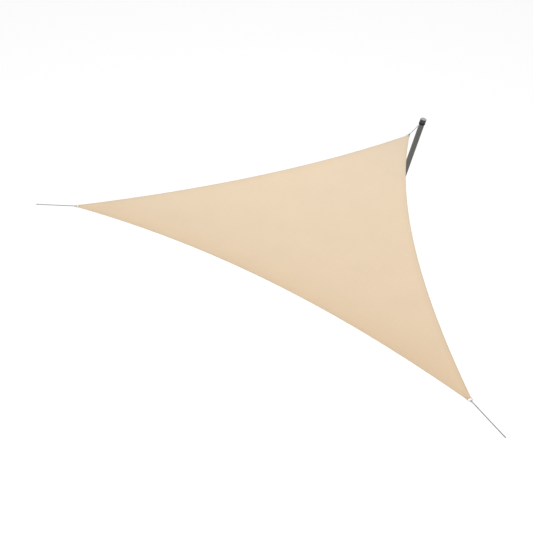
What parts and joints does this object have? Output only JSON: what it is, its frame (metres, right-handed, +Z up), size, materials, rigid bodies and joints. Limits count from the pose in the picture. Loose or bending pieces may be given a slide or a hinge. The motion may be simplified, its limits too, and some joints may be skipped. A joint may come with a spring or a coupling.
{
  "type": "triangular shade sail with its leaning mast",
  "caption": "Sand-coloured triangular shade sail with hollow hemmed edges, roped at two corners and held at the third by a leaning dark grey mast.",
  "frame": {"origin": "centre of the mast foot's underside, on the ground", "axes": "+Z up out of the ground; +X to the viewer's right and +Y away from the viewer, as the picture shows it"},
  "size_m": [5.3088, 5.6653, 2.766],
  "materials": {
    "sand cloth": "matt woven shade cloth",
    "stainless steel": "satin",
    "blackened steel": "dark satin",
    "grey braided rope": "matt braid",
    "dark grey powder coat": "satin powder coat",
    "black plastic": "matt",
    "light grey plastic": "matt"
  },
  "bodies": {
    "root": {"sail": "sand cloth", "ring_left": "stainless steel", "ring_right": "stainless steel", "ring_mast": "blackened steel", "rope_left": "grey braided rope", "rope_right": "grey braided rope", "rope_mast": "grey braided rope", "hitch_left": "grey braided rope", "hitch_right": "grey braided rope", "hitch_mast": "grey braided rope", "hitch_eye": "grey braided rope", "mast_tube": "dark grey powder coat", "mast_eye": "stainless steel", "mast_foot": "dark grey powder coat", "mast_sleeve": "black plastic", "mast_plug": "light grey plastic"}
  },
  "joints": []
}
